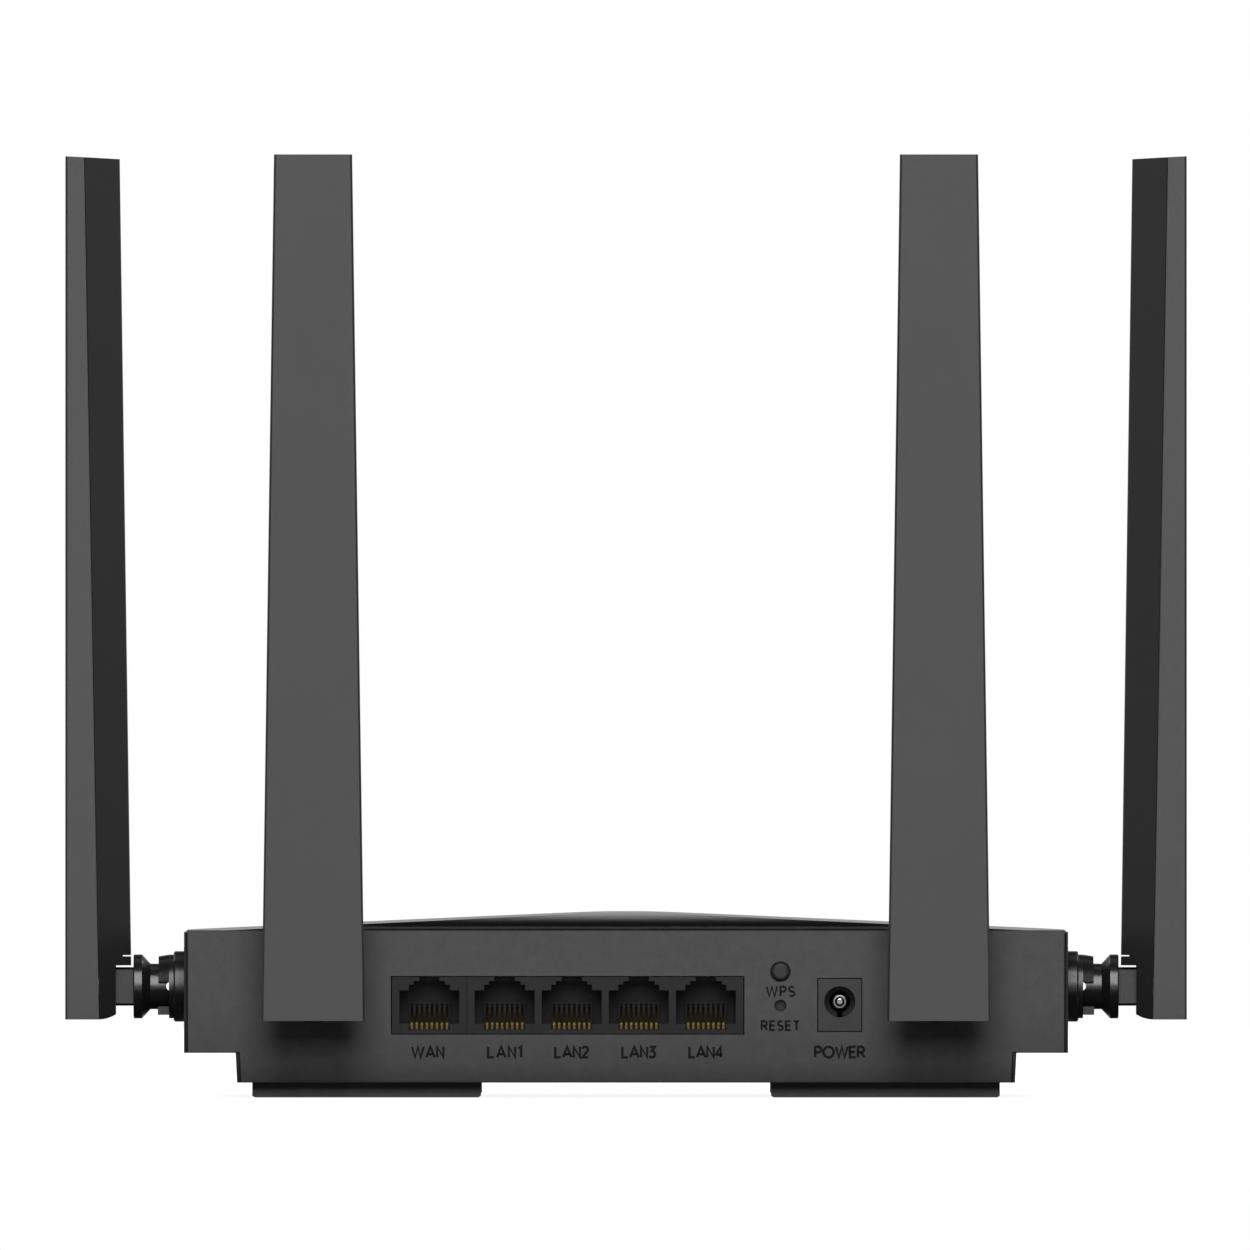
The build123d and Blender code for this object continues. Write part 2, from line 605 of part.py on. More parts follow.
def antenna_swivel():
    """Hollow elbow: shaft, hooded neck, waisted flange and the tongue that the blade folds on."""
    shaft = rod(SHAFT_RADIUS, (-6.0, 0, 0), (NECK_START + 1, 0, 0))
    hooks = rod(SHAFT_RADIUS - 0.3, (-6.1, 0, 0), (-4.75, 0, 0), SHAFT_RADIUS + 0.5)
    shaft = shaft + hooks - Pos(-4.6, 0, 0) * Box(3.4, 1.2, 12) - Pos(-4.6, 0, 0) * Box(3.4, 12, 1.2)
    neck = rod(NECK_RADIUS, (NECK_START, 0, 0), (NECK_END, 0, 0))
    hood = rod(SLEEVE_RADIUS, (NECK_START, 0, 0), (HOOD_END, 0, 0), SLEEVE_RADIUS - 0.35)
    hood = hood & block((0, 10), (-10, 10), (HOOD_LOW, 10))
    lug = block((NECK_START, LUG_END), (-2.2, 2.2), (-LUG_DROP, -3.5))
    cone = rod(NECK_RADIUS, (NECK_END, 0, 0), (CONE_END, 0, 0), FLANGE_RADIUS)
    flange = rod(FLANGE_RADIUS, (CONE_END, 0, 0), (FLANGE_END, 0, 0))
    flange = chamfer(flange.edges().sort_by(Axis.X)[-1], 0.2)
    step = rod(3.9, (FLANGE_END - 1, 0, 0), (STEP_END, 0, 0))
    elbow = joined([shaft, neck, hood, lug, cone, flange, step, tongue()])
    elbow = elbow - rod(CROSS_HOLE, (CROSS_X, -7, 0), (CROSS_X, 7, 0)) - lead_space()
    for side in (-1, 1):
        elbow = elbow - rod(PIN_RADIUS, (FOLD_OUT, side * 1.5, 0), (FOLD_OUT, side * 6, 0))
    return elbow


def lead_space():
    """The hollow that the coax passes through: a chamber that narrows to a bore, then turns up."""
    chamber = rod(CHAMBER_RADIUS, (-7, 0, 0), (5.5, 0, 0))
    throat = rod(CHAMBER_RADIUS, (5.5, 0, 0), (9.0, 0, 0), LEAD_BORE)
    bore = rod(LEAD_BORE, (9.0, 0, 0), (FOLD_OUT, 0, 0))
    return joined([chamber, throat, bore, rod(LEAD_BORE, (FOLD_OUT, 0, 0), (FOLD_OUT, 0, 5))])


def tongue():
    """Flat tongue with a round end about the fold axis."""
    wide = (-TONGUE_HALF_WIDTH, TONGUE_HALF_WIDTH)
    plate = block((STEP_END - 1.5, FOLD_OUT), wide, (-TONGUE_HALF_HEIGHT, TONGUE_HALF_HEIGHT))
    plate = chamfer(plate.edges().filter_by(Axis.X), 0.5)
    end = rod(TONGUE_HALF_HEIGHT, (FOLD_OUT, wide[0], 0), (FOLD_OUT, wide[1], 0))
    return plate + chamfer(end.edges().filter_by(GeomType.CIRCLE), 0.5)


def hinge_pins():
    """Two stub pins, one in each side of the tongue, leaving the middle open for the lead."""
    return [rod(PIN_RADIUS, (FOLD_OUT, side * 1.55, 0), (FOLD_OUT, side * 7.9, 0)) for side in (-1, 1)]


def along(low, high, z):
    """A value that runs evenly from the blade's foot to its tip."""
    return low + (high - low) * (z - BLADE_LOW) / (BLADE_HIGH - BLADE_LOW)


def blade_section(z, inset):
    """The blade's cross-section at height z: a slab with two bevels down to a narrow inner face."""
    half = along(LOW_HALF_WIDTH, HIGH_HALF_WIDTH, z)
    slab = along(LOW_SLAB, HIGH_SLAB, z)
    thick = along(LOW_THICK, HIGH_THICK, z)
    inner_half = half - BEVEL_RUN * (thick - slab)
    face = FOLD_OUT + BLADE_FACE
    points = [
        (face - inset, half - inset),
        (face - slab, half - inset),
        (face - thick + inset, inner_half - inset / 2),
    ]
    mirrored = [(x, -y) for x, y in reversed(points)]
    return (Pos(0, 0, z) * Polygon(*points, *mirrored, align=None)).face()


def blade_body():
    """The whole blade before it is parted into its two mouldings."""
    body = loft([blade_section(BLADE_LOW, 0), blade_section(BLADE_HIGH, 0)], ruled=True)
    face = FOLD_OUT + BLADE_FACE
    tip = [(face + 1, BLADE_HIGH + 0.05), (face + 1, BLADE_HIGH + 9), (face - 20, BLADE_HIGH + 9),
           (face - 20, BLADE_HIGH - 20 * TIP_SLANT)]
    body = body - extrude(Plane.XZ * Polygon(*tip, align=None), 20, both=True)
    long_edges = [edge for edge in body.edges() if edge.length > 150]
    body = fillet(long_edges, 0.45)
    cavity = loft([blade_section(CAVITY_LOW, BLADE_WALL), blade_section(CAVITY_HIGH, BLADE_WALL)], ruled=True)
    body = body - cavity - fork_space()
    body = body - rod(1.5, (FOLD_OUT, 0, 0), (FOLD_OUT, 0, CAVITY_LOW + 1))
    for side in (-1, 1):
        body = body - rod(PIN_RADIUS + 0.07, (FOLD_OUT, side * 3.0, 0), (FOLD_OUT, side * 8.1, 0))
    inner = face - LOW_THICK
    return body - block((inner - 1, inner + 1.9), (-12, 12), (6.15, 6.46))


def fork_space():
    """What is cut from the blade's foot: the slot for the tongue and the relief that lets it fold."""
    slot = block((0, FOLD_OUT + 4.25), (-4.2, 4.2), (BLADE_LOW - 1, FORK_TOP))
    relief = block((0, FOLD_OUT + EAR_FLAT), (-12, 12), (BLADE_LOW - 1, FORK_TOP))
    corner = block((0, FOLD_OUT), (-12, 12), (BLADE_LOW - 1, 0))
    corner = corner - rod(-BLADE_LOW, (FOLD_OUT, -13, 0), (FOLD_OUT, 13, 0))
    return slot + relief + corner


def outer_half(gap):
    """The space outside the blade's parting plane, moved inward by a gap."""
    face = FOLD_OUT + BLADE_FACE
    low = BLADE_LOW - 2
    high = BLADE_HIGH + 2
    points = [(face + 2, low), (face - along(LOW_SLAB, HIGH_SLAB, low) - gap, low),
              (face - along(LOW_SLAB, HIGH_SLAB, high) - gap, high), (face + 2, high)]
    return extrude(Plane.XZ * Polygon(*points, align=None), 20, both=True)


def radiator():
    """Dipole board inside the blade."""
    return block((FOLD_OUT + 1.1, FOLD_OUT + 1.9), (-4.0, 4.0), (60, 150))


def blade_lead():
    """Coax from the hinge up to the radiator."""
    return rod(CABLE_RADIUS, (FOLD_OUT, 0, FORK_TOP + 0.1), (FOLD_OUT, 0, 70))


def swivel_lead():
    """Coax through the hollow swivel, dipping below the cross hole and turning up at the fold axis."""
    dip = [(-1.5, 0, 0), (1.9, 0, -LEAD_DROP), (4.6, 0, -LEAD_DROP), (8.6, 0, 0)]
    return cable([(-8.0, 0, 0)] + dip + [(FOLD_OUT, 0, 0), (FOLD_OUT, 0, 3.9)], [4.0, 4.0, 4.0, 4.0, 2.0])


def case_lead(name):
    """Coax from an antenna's swivel down to the board."""
    x, y, turn = ANTENNAS[name]
    out = Vector(cos(radians(turn)), sin(radians(turn)), 0)
    side = 1 if x > 0 else -1
    start = Vector(x, y, AXIS_Z) - out * 8.2
    bend = start - out * 7.5
    low = BOARD_TOP + CABLE_RADIUS + 0.1
    if name.startswith("side"):
        rest = [(side * 62.0, SIDE_Y - 6, low), (side * 50.0, SIDE_Y - 14, low)]
    else:
        rest = [(side * 58.0, 33.0, low), (side * 53.0, 22.0, low)]
    return cable([tuple(start), tuple(bend)] + rest, [4.0, 5.0])


def write(name, part):
    """Save one sub-part: a solid, or a group of them."""
    shape = Compound(children=list(part)) if isinstance(part, list) else part
    export_step(shape, f"parts/{name}.step")


def main():
    """Write every sub-part."""
    os.makedirs("parts", exist_ok=True)
    makers = [
        bottom_case, top_cover, rear_panel, rubber_feet, case_screws, main_board, board_screws, port_contacts,
        dc_jack, dc_contacts, button_board, push_switches, wps_button, reset_plunger, chips, thermal_pad,
        heat_sink, rf_shields, lan_transformers, capacitors, status_leds, light_pipe,
    ]
    for maker in makers:
        write(maker.__name__, maker())
    write("wan_jack", jack([WAN_CENTRE]))
    write("lan_jack", jack([LAN_FIRST - PORT_PITCH * place for place in range(LAN_COUNT)]))
    body = blade_body()
    pieces = {
        "socket": antenna_socket(),
        "swivel": antenna_swivel(),
        "pins": hinge_pins(),
        "blade": body & outer_half(0),
        "cover": body - outer_half(0.1),
        "radiator": radiator(),
        "swivel_lead": swivel_lead(),
        "blade_lead": blade_lead(),
    }
    for name in ANTENNAS:
        for piece, shape in pieces.items():
            moved = [placed(name, solid) for solid in shape] if isinstance(shape, list) else placed(name, shape)
            write(f"{name}_{piece}", moved)
        write(f"{name}_case_lead", case_lead(name))


main()
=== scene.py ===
import json
import math
import bmesh
import bpy
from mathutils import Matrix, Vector


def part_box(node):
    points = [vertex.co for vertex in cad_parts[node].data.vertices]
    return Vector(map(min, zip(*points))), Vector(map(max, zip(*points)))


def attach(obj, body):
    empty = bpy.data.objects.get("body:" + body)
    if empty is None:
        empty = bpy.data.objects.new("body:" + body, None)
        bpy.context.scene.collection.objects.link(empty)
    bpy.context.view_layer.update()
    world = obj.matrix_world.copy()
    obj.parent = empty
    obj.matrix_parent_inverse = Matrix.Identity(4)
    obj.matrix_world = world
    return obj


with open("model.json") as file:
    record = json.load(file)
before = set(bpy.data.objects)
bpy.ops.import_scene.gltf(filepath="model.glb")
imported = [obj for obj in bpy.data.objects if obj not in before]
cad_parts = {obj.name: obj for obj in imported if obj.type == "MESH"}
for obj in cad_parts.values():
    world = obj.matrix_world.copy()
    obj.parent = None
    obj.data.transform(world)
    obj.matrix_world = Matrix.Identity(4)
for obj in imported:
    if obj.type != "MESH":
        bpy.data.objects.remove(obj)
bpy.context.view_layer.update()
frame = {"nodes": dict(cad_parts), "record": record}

# Looks of the wireless router: materials, panel lettering, studio and camera.  All lengths are metres.
NODES = frame["nodes"]
MM = 0.001
ANTENNAS = ("side_right", "side_left", "rear_right", "rear_left")

# Panel lettering
INK_STAND_OFF = 0.012 * MM
PORT_PITCH = 13.76 * MM
PORT_TEXT_DROP = 4.85 * MM      # from the bottom of the sockets down to the foot of the words
PORT_CAP = 2.15 * MM            # height of the capitals
PORT_STROKE = 0.52 * MM
WAN_SHIFT = 0.34 * MM           # the word stands a little off the middle of its socket
WAN_WIDTH = 6.45 * MM
LAN_WIDTH = 6.75 * MM
POWER_WIDTH = 10.1 * MM
# Words beside the buttons: drop from the WPS button's middle, height of the capitals, width, stroke
BUTTON_WORDS = {
    "label_wps": ("WPS", 5.05 * MM, 1.95 * MM, 5.7 * MM, 0.42 * MM),
    "label_reset": ("RESET", 12.0 * MM, 1.8 * MM, 7.7 * MM, 0.43 * MM),
}
SAME_POINT = 1e-6
MITRE_LIMIT = 0.45              # keeps the corners of sharp letters from growing spikes

# Stage and lights
AIM = Vector((0, 0, 0.08))
BAND_LIGHT = 0.85               # brightness of the band round the horizon
CEILING_LIGHT = 0.06
FLOOR_STRETCH = 0.4             # the band reaches further down than up, as over a pale floor
BAND_FULL = 0.2                 # height, as a direction's Z, up to which the band is at its brightest
BAND_END = 0.6
ROUND_SHARES = [(0.0, 0.55), (0.35, 0.7), (0.5, 1.0), (0.6, 1.0), (0.72, 0.1)]  # front, sides, panel side
FLOOR_REACH = 2.0
FLOOR_DEPTH = 0.1 * MM
FLOOR_GLOW = 0.9
CARD_DEPTH = 0.5 * MM
CARD_MARGIN = 0.055
FLAG_GAP = 0.029                # dark flag that shades the low part of the panel
FLAG_TOP = 0.0113               # low enough for every blade to pass over it
FLAG_SPREAD = 0.03
# Azimuth (0 is the front, 180 the panel side), elevation, distance, size, radiance
LIGHTS = {
    "key": (180, 30, 6.0, (2.4, 5.0), 11.6),
    "fill": (180, -6, 9.0, (6.4, 4.6), 1.5),
    "front_left": (58, 38, 6.0, (3.0, 3.0), 4.5),
    "front_right": (-58, 38, 6.0, (3.0, 3.0), 4.5),
    "side_left": (-90, 50, 6.0, (3.0, 3.0), 1.5),
    "side_right": (90, 50, 6.0, (3.0, 3.0), 1.5),
    "overhead": (0, 72, 6.0, (5.0, 2.4), 0.45),
}

# Camera
CAMERA_DISTANCE = 12.0
VIEW_WIDTH = 0.2564
CAMERA_X = 0.00021
CAMERA_Z = 0.09693
SENSOR_WIDTH = 36.0             # millimetres


# Shader helpers
def add_node(tree, kind, **settings):
    """A shader node with some of its properties set."""
    made = tree.nodes.new(kind)
    for name, value in settings.items():
        setattr(made, name, value)
    return made


def noise(tree, size, detail=2.0, roughness=0.5):
    """Noise whose features are about `size` across, in the object's own coordinates."""
    place = add_node(tree, "ShaderNodeTexCoord")
    made = add_node(tree, "ShaderNodeTexNoise")
    made.inputs["Scale"].default_value = 1.0 / size
    made.inputs["Detail"].default_value = detail
    made.inputs["Roughness"].default_value = roughness
    tree.links.new(place.outputs["Object"], made.inputs["Vector"])
    return made.outputs["Fac"]


def spread(tree, value, low, high):
    """Map noise, which stays near its middle, to the range low to high."""
    made = add_node(tree, "ShaderNodeMapRange")
    made.inputs["From Min"].default_value = 0.3
    made.inputs["From Max"].default_value = 0.7
    made.inputs["To Min"].default_value = low
    made.inputs["To Max"].default_value = high
    tree.links.new(value, made.inputs["Value"])
    return made.outputs["Result"]


def mixed(tree, value, dark, light):
    """Blend two colours by a 0 to 1 value."""
    made = add_node(tree, "ShaderNodeMix", data_type="RGBA")
    made.inputs[6].default_value = (*dark, 1)
    made.inputs[7].default_value = (*light, 1)
    tree.links.new(value, made.inputs["Factor"])
    return made.outputs[2]


def bumped(tree, height, distance):
    """A bump of the given depth from a height."""
    made = add_node(tree, "ShaderNodeBump")
    made.inputs["Strength"].default_value = 1.0
    made.inputs["Distance"].default_value = distance
    tree.links.new(height, made.inputs["Height"])
    return made.outputs["Normal"]


def grey(value):
    """A neutral colour."""
    return (value, value, value)


def surface(name, dark, light, rough, patch, grain, relief, **sockets):
    """A moulded, plated, coated or printed surface.

    dark and light are the ends of its colour drift over patches of size `patch`; rough is a range;
    grain is the size of its fine texture and relief the texture's depth.
    """
    material = bpy.data.materials.new(name)
    material.use_nodes = True
    tree = material.node_tree
    shader = tree.nodes["Principled BSDF"]
    drift = spread(tree, noise(tree, patch, detail=4.0, roughness=0.6), 0.0, 1.0)
    tree.links.new(mixed(tree, drift, dark, light), shader.inputs["Base Color"])
    sheen = spread(tree, noise(tree, grain * 3, detail=3.0), *rough)
    tree.links.new(sheen, shader.inputs["Roughness"])
    if relief:
        fine = bumped(tree, noise(tree, grain, roughness=0.7), relief)
        tree.links.new(fine, shader.inputs["Normal"])
    for socket, value in sockets.items():
        shader.inputs[socket.replace("_", " ")].default_value = value
    return material


MATERIALS = {
    "case_plastic": surface(
        "case_plastic", grey(0.011), grey(0.014), (0.25, 0.32), 0.02, 0.35 * MM, 0.004 * MM,
        Specular_IOR_Level=0.2),
    "lid_plastic": surface(
        "lid_plastic", grey(0.003), grey(0.0045), (0.13, 0.17), 0.03, 0.3 * MM, 0.002 * MM),
    "panel_plastic": surface(
        "panel_plastic", grey(0.022), grey(0.029), (0.44, 0.52), 0.003, 0.3 * MM, 0.016 * MM,
        Specular_IOR_Level=0.32),
    "foot_rubber": surface(
        "foot_rubber", grey(0.06), grey(0.075), (0.6, 0.75), 0.01, 0.4 * MM, 0.02 * MM),
    "screw_steel": surface(
        "screw_steel", grey(0.3), grey(0.42), (0.3, 0.45), 0.002, 0.2 * MM, 0.01 * MM, Metallic=1.0),
    "board_laminate": surface(
        "board_laminate", (0.008, 0.055, 0.022), (0.012, 0.08, 0.03), (0.3, 0.4), 0.004, 0.5 * MM, 0.01 * MM),
    "jack_plastic": surface(
        "jack_plastic", grey(0.008), grey(0.011), (0.46, 0.54), 0.006, 0.25 * MM, 0.008 * MM,
        Specular_IOR_Level=0.14),
    "gilt_contact": surface(
        "gilt_contact", (0.07, 0.048, 0.015), (0.1, 0.068, 0.021), (0.5, 0.6), 0.001, 0.15 * MM, 0.004 * MM,
        Metallic=1.0),
    "contact_steel": surface(
        "contact_steel", grey(0.13), grey(0.18), (0.12, 0.2), 0.002, 0.2 * MM, 0.004 * MM, Metallic=1.0),
    "button_plastic": surface(
        "button_plastic", grey(0.017), grey(0.022), (0.38, 0.44), 0.003, 0.2 * MM, 0.006 * MM,
        Specular_IOR_Level=0.15),
    "chip_epoxy": surface(
        "chip_epoxy", grey(0.012), grey(0.018), (0.5, 0.6), 0.003, 0.3 * MM, 0.01 * MM),
    "pad_silicone": surface(
        "pad_silicone", (0.28, 0.34, 0.42), (0.32, 0.38, 0.46), (0.6, 0.7), 0.003, 0.4 * MM, 0.02 * MM),
    "sink_aluminium": surface(
        "sink_aluminium", grey(0.5), grey(0.6), (0.35, 0.45), 0.01, 0.3 * MM, 0.01 * MM, Metallic=1.0),
    "shield_tin": surface(
        "shield_tin", grey(0.5), grey(0.62), (0.28, 0.4), 0.006, 0.5 * MM, 0.01 * MM, Metallic=1.0),
    "can_aluminium": surface(
        "can_aluminium", (0.02, 0.025, 0.06), (0.03, 0.035, 0.08), (0.3, 0.4), 0.004, 0.4 * MM, 0.01 * MM),
    "led_lens": surface(
        "led_lens", (0.7, 0.68, 0.5), (0.8, 0.78, 0.6), (0.15, 0.25), 0.001, 0.2 * MM, 0.002 * MM),
    "light_guide": surface(
        "light_guide", grey(0.75), grey(0.85), (0.25, 0.35), 0.003, 0.3 * MM, 0.004 * MM,
        Transmission_Weight=0.6, IOR=1.49),
    "swivel_plastic": surface(
        "swivel_plastic", grey(0.006), grey(0.008), (0.22, 0.28), 0.01, 0.3 * MM, 0.002 * MM,
        Specular_IOR_Level=0.36),
    "blade_plastic": surface(
        "blade_plastic", grey(0.008), grey(0.010), (0.38, 0.43), 0.03, 0.25 * MM, 0.008 * MM,
        Specular_IOR_Level=0.41),
    "lead_jacket": surface(
        "lead_jacket", grey(0.012), grey(0.016), (0.35, 0.45), 0.003, 0.3 * MM, 0.004 * MM),
}
BUSHING = surface(
    "bushing_plastic", grey(0.006), grey(0.008), (0.28, 0.34), 0.01, 0.3 * MM, 0.004 * MM,
    Specular_IOR_Level=0.34)
INLET = surface(
    "dc_jack_plastic", grey(0.018), grey(0.023), (0.44, 0.52), 0.003, 0.3 * MM, 0.008 * MM,
    Specular_IOR_Level=0.23)
INK = surface(
    "panel_ink", grey(0.008), grey(0.0105), (0.5, 0.65), 0.004, 0.2 * MM, 0.003 * MM,
    Specular_IOR_Level=0.03)
# Nodes whose finish differs a little from the rest of their slot
OWN_SURFACES = {"dc_jack": INLET, **{f"{name}_socket": BUSHING for name in ANTENNAS}}


def dress():
    """Give every CAD node the material of its slot, or its own."""
    for entry in frame["record"]["subparts"]:
        mesh = NODES[entry["node"]].data
        mesh.materials.clear()
        mesh.materials.append(OWN_SURFACES.get(entry["node"], MATERIALS[entry["material_slot"]]))


# Panel lettering, drawn as strokes in a box one unit high
def arc(centre_x, centre_y, radius_x, radius_y, start, end, steps=14):
    """Points along an elliptical arc, in degrees."""
    points = []
    for step in range(steps + 1):
        turn = math.radians(start + (end - start) * step / steps)
        points.append((centre_x + radius_x * math.cos(turn), centre_y + radius_y * math.sin(turn)))
    return points


BOWL = [(0, 0), (0, 1), (0.3, 1)] + arc(0.3, 0.74, 0.27, 0.26, 90, -90) + [(0, 0.48)]
# Width and strokes of each letter
GLYPHS = {
    "W": (1.12, [[(0, 1), (0.29, 0), (0.56, 0.98), (0.83, 0), (1.12, 1)]]),
    "A": (0.8, [[(0, 0), (0.4, 1), (0.8, 0)], [(0.15, 0.3), (0.65, 0.3)]]),
    "N": (0.6, [[(0, 0), (0, 1), (0.6, 0), (0.6, 1)]]),
    "L": (0.52, [[(0, 1), (0, 0), (0.52, 0)]]),
    "P": (0.57, [BOWL]),
    "R": (0.62, [BOWL, [(0.3, 0.48), (0.62, 0)]]),
    "E": (0.56, [[(0.56, 1), (0, 1), (0, 0), (0.56, 0)], [(0, 0.52), (0.5, 0.52)]]),
    "T": (0.64, [[(0, 1), (0.64, 1)], [(0.32, 1), (0.32, 0)]]),
    "O": (0.98, [arc(0.49, 0.5, 0.49, 0.5, 0, 360, 32)]),
    "S": (0.56, [arc(0.28, 0.74, 0.26, 0.26, 35, 270) + arc(0.28, 0.25, 0.28, 0.25, 90, -145)]),
    "1": (0.24, [[(0, 0.82), (0.24, 1), (0.24, 0)]]),
    "2": (0.56, [arc(0.27, 0.72, 0.26, 0.28, 160, -25) + [(0.0, 0.0), (0.56, 0)]]),
    "3": (0.54, [[(0.02, 1), (0.5, 1), (0.22, 0.6)] + arc(0.24, 0.3, 0.28, 0.3, 90, -150)]),
    "4": (0.64, [[(0.48, 0), (0.48, 1), (0, 0.26), (0.64, 0.26)]]),
}


def ribbon(mesh, points, half, to_panel):
    """Add a flat stroke of even width along a line of points, with mitred corners."""
    line = [Vector(point) for point in points]
    closed = (line[0] - line[-1]).length < SAME_POINT
    if closed:
        line = line[:-1]
    count = len(line)
    rims = []
    for index, point in enumerate(line):
        before = line[index - 1] if closed or index > 0 else None
        after = line[(index + 1) % count] if closed or index < count - 1 else None
        came = (point - before).normalized() if before is not None else (after - point).normalized()
        goes = (after - point).normalized() if after is not None else came
        across = Vector((-came.y - goes.y, came.x + goes.x)).normalized()
        reach = half / max(MITRE_LIMIT, across.dot(Vector((-came.y, came.x))))
        rims.append([mesh.verts.new(to_panel(point + across * reach * side)) for side in (1, -1)])
    for index in range(count if closed else count - 1):
        here, there = rims[index], rims[(index + 1) % count]
        mesh.faces.new((here[0], here[1], there[1], there[0]))


def lettering(name, text, centre_x, low_z, height, width, stroke):
    """One word printed on the connector panel, read from behind."""
    glyph_width = sum(GLYPHS[letter][0] for letter in text) * height
    gap = (width - glyph_width) / (len(text) - 1)
    ink_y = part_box("rear_panel")[1].y + INK_STAND_OFF
    start = centre_x + width / 2
    mesh = bmesh.new()
    for letter in text:
        advance, strokes = GLYPHS[letter]

        def to_panel(point, start=start):
            return (start - point.x * height, ink_y, low_z + point.y * height)

        for points in strokes:
            ribbon(mesh, points, stroke / 2 / height, to_panel)
        start -= advance * height + gap
    for face in mesh.faces:
        face.normal_update()
        if face.normal.y < 0:
            face.normal_flip()
    data = bpy.data.meshes.new(name)
    mesh.to_mesh(data)
    mesh.free()
    piece = bpy.data.objects.new(name, data)
    bpy.context.scene.collection.objects.link(piece)
    piece.data.materials.append(INK)
    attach(piece, "case")


def middle(node):
    """X and Z of the middle of a node's box."""
    low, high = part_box(node)
    return (low.x + high.x) / 2, (low.z + high.z) / 2


def letter_panel():
    """Every word on the connector panel, each under its port, button or inlet."""
    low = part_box("wan_jack")[0].z - PORT_TEXT_DROP
    words = {"label_wan": ("WAN", middle("wan_jack")[0] + WAN_SHIFT, WAN_WIDTH)}
    lan_x = middle("lan_jack")[0]
    for place in range(4):
        words[f"label_lan{place + 1}"] = (f"LAN{place + 1}", lan_x + (1.5 - place) * PORT_PITCH, LAN_WIDTH)
    words["label_power"] = ("POWER", middle("dc_jack")[0], POWER_WIDTH)
    for name, (text, x, width) in words.items():
        lettering(name, text, x, low, PORT_CAP, width, PORT_STROKE)
    button_x, button_z = middle("wps_button")
    for name, (text, drop, cap, width, stroke) in BUTTON_WORDS.items():
        lettering(name, text, button_x, button_z - drop, cap, width, stroke)


# Studio
def surroundings():
    """White to the camera; to everything else a bright band round the horizon under a dark ceiling."""
    world = bpy.data.worlds.new("studio")
    bpy.context.scene.world = world
    world.use_nodes = True
    tree = world.node_tree
    background = tree.nodes["Background"]
    direction = add_node(tree, "ShaderNodeTexCoord")
    parts = add_node(tree, "ShaderNodeSeparateXYZ")
    tree.links.new(direction.outputs["Generated"], parts.inputs["Vector"])
    below = add_node(tree, "ShaderNodeMath", operation="MULTIPLY")
    below.inputs[1].default_value = -FLOOR_STRETCH
    tree.links.new(parts.outputs["Z"], below.inputs[0])
    height = add_node(tree, "ShaderNodeMath", operation="MAXIMUM")
    tree.links.new(parts.outputs["Z"], height.inputs[0])
    tree.links.new(below.outputs[0], height.inputs[1])
    band = add_node(tree, "ShaderNodeMapRange", interpolation_type="SMOOTHSTEP")
    band.inputs["From Min"].default_value = BAND_FULL
    band.inputs["From Max"].default_value = BAND_END
    band.inputs["To Min"].default_value = BAND_LIGHT
    band.inputs["To Max"].default_value = CEILING_LIGHT
    tree.links.new(height.outputs[0], band.inputs["Value"])
    bearing = add_node(tree, "ShaderNodeMapRange")
    bearing.inputs["From Min"].default_value = -1.0
    tree.links.new(parts.outputs["Y"], bearing.inputs["Value"])
    facing = add_node(tree, "ShaderNodeValToRGB")
    shares = facing.color_ramp
    shares.interpolation = "EASE"
    shares.elements.remove(shares.elements[0])
    for position, share in ROUND_SHARES:
        shares.elements.new(position).color = (*grey(share), 1)
    shares.elements.remove(shares.elements[-1])
    tree.links.new(bearing.outputs["Result"], facing.inputs["Fac"])
    lit = add_node(tree, "ShaderNodeMath", operation="MULTIPLY")
    tree.links.new(band.outputs["Result"], lit.inputs[0])
    tree.links.new(facing.outputs["Color"], lit.inputs[1])
    path = add_node(tree, "ShaderNodeLightPath")
    strength = add_node(tree, "ShaderNodeMix", data_type="FLOAT")
    tree.links.new(path.outputs["Is Camera Ray"], strength.inputs["Factor"])
    tree.links.new(lit.outputs[0], strength.inputs[2])
    strength.inputs[3].default_value = 1.0
    tree.links.new(strength.outputs[0], background.inputs["Strength"])
    background.inputs["Color"].default_value = (1, 1, 1, 1)


def level(low, high, height):
    """Corners of a level rectangle."""
    return [(low[0], low[1], height), (high[0], low[1], height), (high[0], high[1], height),
            (low[0], high[1], height)]


def plane(name, corners, material):
    """A flat rectangle of the stage."""
    mesh = bpy.data.meshes.new(name)
    mesh.from_pydata(corners, [], [(0, 1, 2, 3)])
    piece = bpy.data.objects.new(name, mesh)
    bpy.context.scene.collection.objects.link(piece)
    mesh.materials.append(material)
    return piece


def clear_from_below(material):
    """Let the underside of the object be seen through the back of a sheet of this material."""
    tree = material.node_tree
    output = tree.nodes["Material Output"]
    sides = add_node(tree, "ShaderNodeNewGeometry")
    clear = add_node(tree, "ShaderNodeBsdfTransparent")
    either = add_node(tree, "ShaderNodeMixShader")
    tree.links.new(sides.outputs["Backfacing"], either.inputs["Fac"])
    tree.links.new(tree.nodes["Principled BSDF"].outputs["BSDF"], either.inputs[1])
    tree.links.new(clear.outputs["BSDF"], either.inputs[2])
    tree.links.new(either.outputs["Shader"], output.inputs["Surface"])


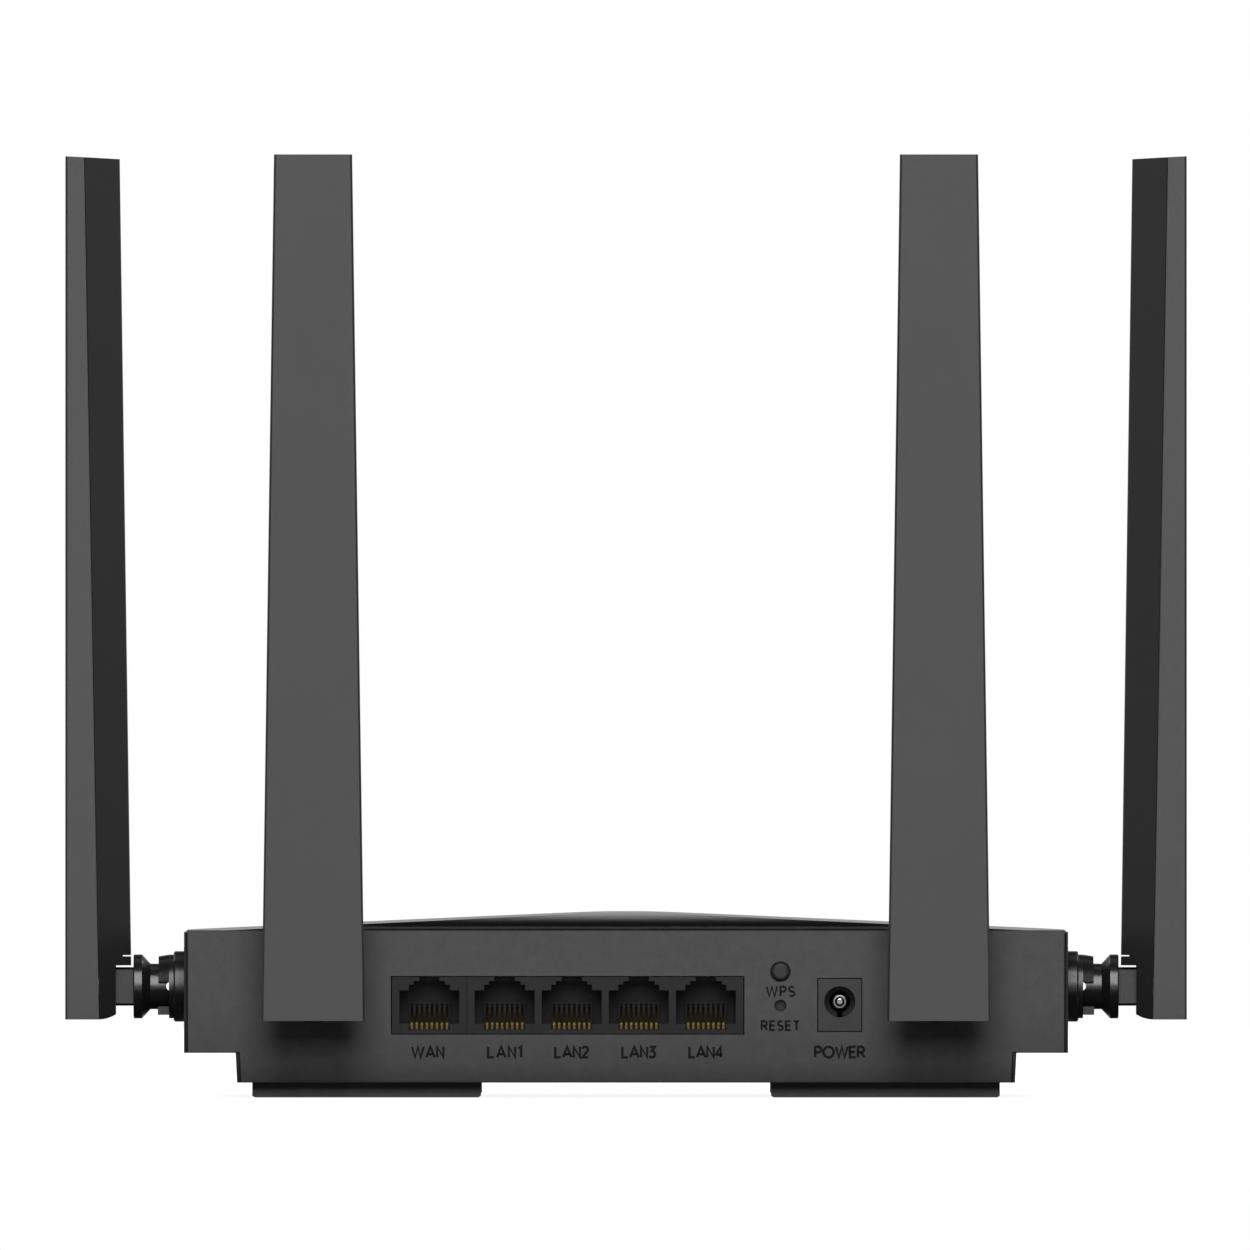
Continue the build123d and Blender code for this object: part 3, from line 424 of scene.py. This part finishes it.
def stage():
    """Pale floor that only the camera sees, and dark cards and a flag that only light meets."""
    paper = surface("floor_paper", grey(0.24), grey(0.26), (0.8, 0.9), 0.2, 1.0 * MM, 0)
    shader = paper.node_tree.nodes["Principled BSDF"]
    shader.inputs["Emission Color"].default_value = (1, 1, 1, 1)
    shader.inputs["Emission Strength"].default_value = FLOOR_GLOW
    clear_from_below(paper)
    reach = FLOOR_REACH
    floor = plane("floor", level((-reach, -reach), (reach, reach), -FLOOR_DEPTH), paper)
    floor.visible_diffuse = False
    floor.visible_glossy = False
    floor.visible_transmission = False
    floor.visible_shadow = False
    felt = surface("card_felt", grey(0.002), grey(0.003), (0.9, 1.0), 0.1, 1.0 * MM, 0)
    case_low, case_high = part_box("bottom_case")
    wide = case_high.x + CARD_MARGIN
    deep = case_high.y + CARD_MARGIN
    cards = {
        "rear": ((-wide, case_high.y), (wide, deep)),
        "right": ((case_high.x, case_low.y), (wide, case_high.y)),
        "left": ((-wide, case_low.y), (case_low.x, case_high.y)),
    }
    for name, (low, high) in cards.items():
        card = plane(f"shade_card_{name}", level(low, high, -CARD_DEPTH), felt)
        card.visible_camera = False
    back = case_high.y + FLAG_GAP
    side = case_high.x + FLAG_SPREAD
    corners = [(-side, back, 0), (side, back, 0), (side, back, FLAG_TOP), (-side, back, FLAG_TOP)]
    flag = plane("shade_flag", corners, felt)
    flag.visible_camera = False


def softbox(name, azimuth, elevation, distance, size, radiance):
    """A soft light towards the object, placed by direction."""
    turn = math.radians(azimuth)
    rise = math.radians(elevation)
    way = Vector((math.sin(turn) * math.cos(rise), -math.cos(turn) * math.cos(rise), math.sin(rise)))
    data = bpy.data.lights.new(name, "AREA")
    data.shape = "RECTANGLE"
    data.size, data.size_y = size
    data.energy = radiance * math.pi * size[0] * size[1]
    lamp = bpy.data.objects.new(name, data)
    bpy.context.scene.collection.objects.link(lamp)
    lamp.location = AIM + way * distance
    lamp.rotation_euler = (-way).to_track_quat("-Z", "Y").to_euler()
    lamp.visible_camera = False
    return lamp


def keep_off(lamp, piece):
    """Leave one piece out of a lamp's light."""
    shaded = bpy.data.collections.new(f"{lamp.name}_shaded")
    shaded.objects.link(piece)
    lamp.light_linking.receiver_collection = shaded
    shaded.collection_objects[0].light_linking.link_state = "EXCLUDE"


def studio():
    """All of the stage and its lights; the key would turn the glossy lid white from the front."""
    surroundings()
    stage()
    lamps = {name: softbox(name, *setting) for name, setting in LIGHTS.items()}
    keep_off(lamps["key"], NODES["top_cover"])


def camera():
    """Square-on view of the connector side through a very long lens."""
    data = bpy.data.cameras.new("camera")
    data.sensor_width = SENSOR_WIDTH
    data.lens = SENSOR_WIDTH * CAMERA_DISTANCE / VIEW_WIDTH
    data.clip_end = 100.0
    eye = bpy.data.objects.new("camera", data)
    bpy.context.scene.collection.objects.link(eye)
    eye.location = (CAMERA_X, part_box("rear_panel")[1].y + CAMERA_DISTANCE, CAMERA_Z)
    eye.rotation_euler = (math.radians(90), 0, math.radians(180))
    bpy.context.scene.camera = eye


dress()
letter_panel()
studio()
camera()
view = bpy.context.scene.view_settings
view.view_transform = "Standard"
view.look = "None"
